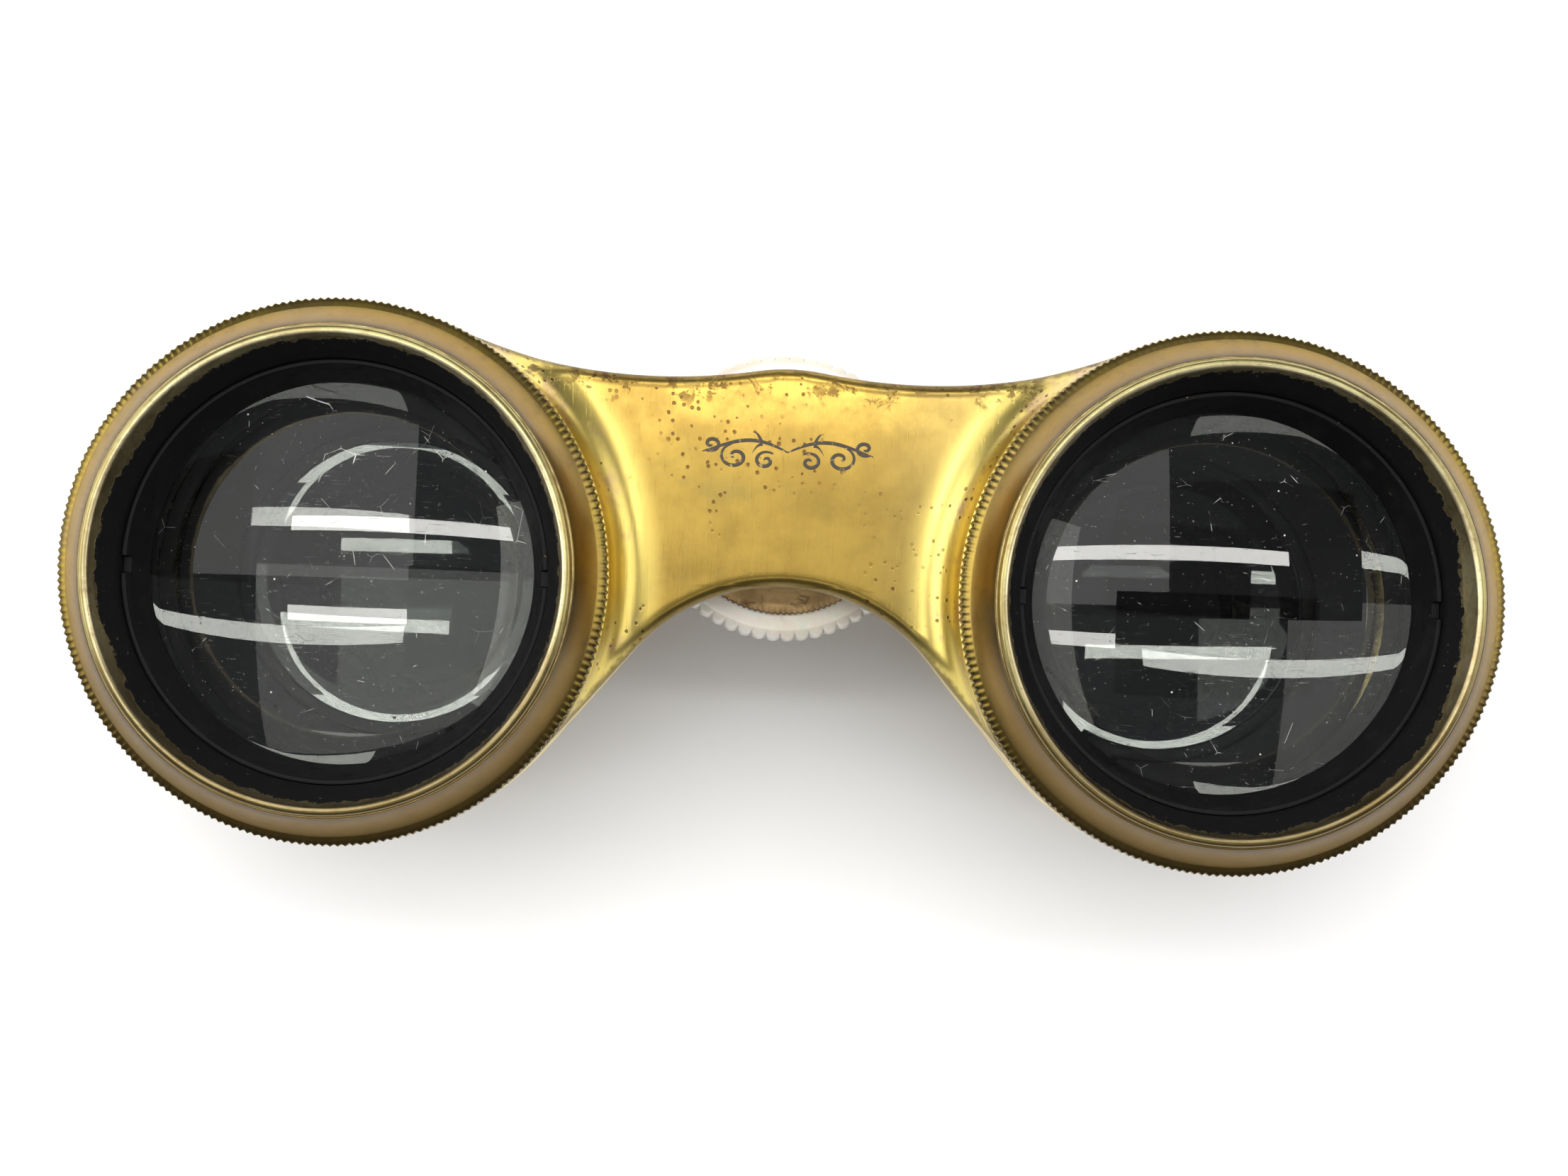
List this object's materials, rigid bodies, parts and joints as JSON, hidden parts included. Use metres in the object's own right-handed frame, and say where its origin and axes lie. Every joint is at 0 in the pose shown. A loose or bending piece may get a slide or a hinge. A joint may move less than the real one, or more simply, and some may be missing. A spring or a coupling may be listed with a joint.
{
  "type": "opera glasses",
  "caption": "Small Galilean binocular with centre-wheel focusing: short brass and mother-of-pearl barrels joined by bridges, sliding eyepieces on a screw spindle, and a nose arch.",
  "frame": {"origin": "midway between the two barrels on the plane of the eyecup rims, the middle of the bounding box's base when focused in", "axes": "+X from the left barrel to the right barrel, +Y from the nose arch to the top of the glasses, +Z from the eyecups to the objectives along the optical axes"},
  "size_m": [0.1006, 0.038, 0.04],
  "materials": {
    "aged_brass": "aged golden brass, satin, with brown tarnish",
    "bezel_brass": "aged turned brass, satin, pinkish tarnish",
    "machined_brass": "turned brass, satin",
    "tarnished_brass": "brown tarnished brass, satin",
    "black_lacquer": "black lacquer on brass, matte",
    "mother_of_pearl": "polished",
    "lens_glass": "polished"
  },
  "bodies": {
    "eyepiece_unit": {"ocular_bridge": "aged_brass", "focus_spindle": "machined_brass", "spindle_stop_screw": "machined_brass", "spindle_washer": "machined_brass", "spindle_cap_nut": "aged_brass", "left_draw_tube": "machined_brass", "left_draw_tube_baffle": "black_lacquer", "left_eyecup": "aged_brass", "left_eyecup_inlay": "mother_of_pearl", "left_ocular_cell": "black_lacquer", "left_ocular_lens": "lens_glass", "left_ocular_retainer": "black_lacquer", "right_draw_tube": "machined_brass", "right_draw_tube_baffle": "black_lacquer", "right_eyecup": "aged_brass", "right_eyecup_inlay": "mother_of_pearl", "right_ocular_cell": "black_lacquer", "right_ocular_lens": "lens_glass", "right_ocular_retainer": "black_lacquer"},
    "barrels": {"front_bridge": "aged_brass", "rear_bridge": "aged_brass", "front_wheel_bush": "machined_brass", "rear_wheel_bush": "machined_brass", "left_barrel_tube": "machined_brass", "left_draw_tube_guide": "machined_brass", "left_objective_bezel": "bezel_brass", "left_objective_cell": "black_lacquer", "left_objective_lens": "lens_glass", "left_lens_retainer": "black_lacquer", "left_pearl_stave_1": "mother_of_pearl", "left_pearl_stave_2": "mother_of_pearl", "left_pearl_stave_3": "mother_of_pearl", "left_pearl_stave_4": "mother_of_pearl", "left_pearl_stave_5": "mother_of_pearl", "left_pearl_stave_6": "mother_of_pearl", "left_pearl_stave_7": "mother_of_pearl", "left_pearl_stave_8": "mother_of_pearl", "right_barrel_tube": "machined_brass", "right_draw_tube_guide": "machined_brass", "right_objective_bezel": "bezel_brass", "right_objective_cell": "black_lacquer", "right_objective_lens": "lens_glass", "right_lens_retainer": "black_lacquer", "right_pearl_stave_1": "mother_of_pearl", "right_pearl_stave_2": "mother_of_pearl", "right_pearl_stave_3": "mother_of_pearl", "right_pearl_stave_4": "mother_of_pearl", "right_pearl_stave_5": "mother_of_pearl", "right_pearl_stave_6": "mother_of_pearl", "right_pearl_stave_7": "mother_of_pearl", "right_pearl_stave_8": "mother_of_pearl"},
    "focusing_wheel": {"wheel_hub": "machined_brass", "wheel_pearl_rim": "mother_of_pearl", "wheel_front_disc": "tarnished_brass", "wheel_rear_disc": "tarnished_brass"}
  },
  "joints": [
    {"name": "focus_slide", "type": "slide", "parent": "eyepiece_unit", "child": "barrels", "axis": [0, 0, 1], "range_m": [0, 0.008]},
    {"name": "wheel_spin", "type": "hinge", "parent": "barrels", "child": "focusing_wheel", "pos_m": [0, 0.007, 0.021], "axis": [0, 0, 1], "range_deg": [0, 240]}
  ],
  "couplings": [
    {"joint": "wheel_spin", "follows": "focus_slide", "rad_per_m": 523.59}
  ]
}
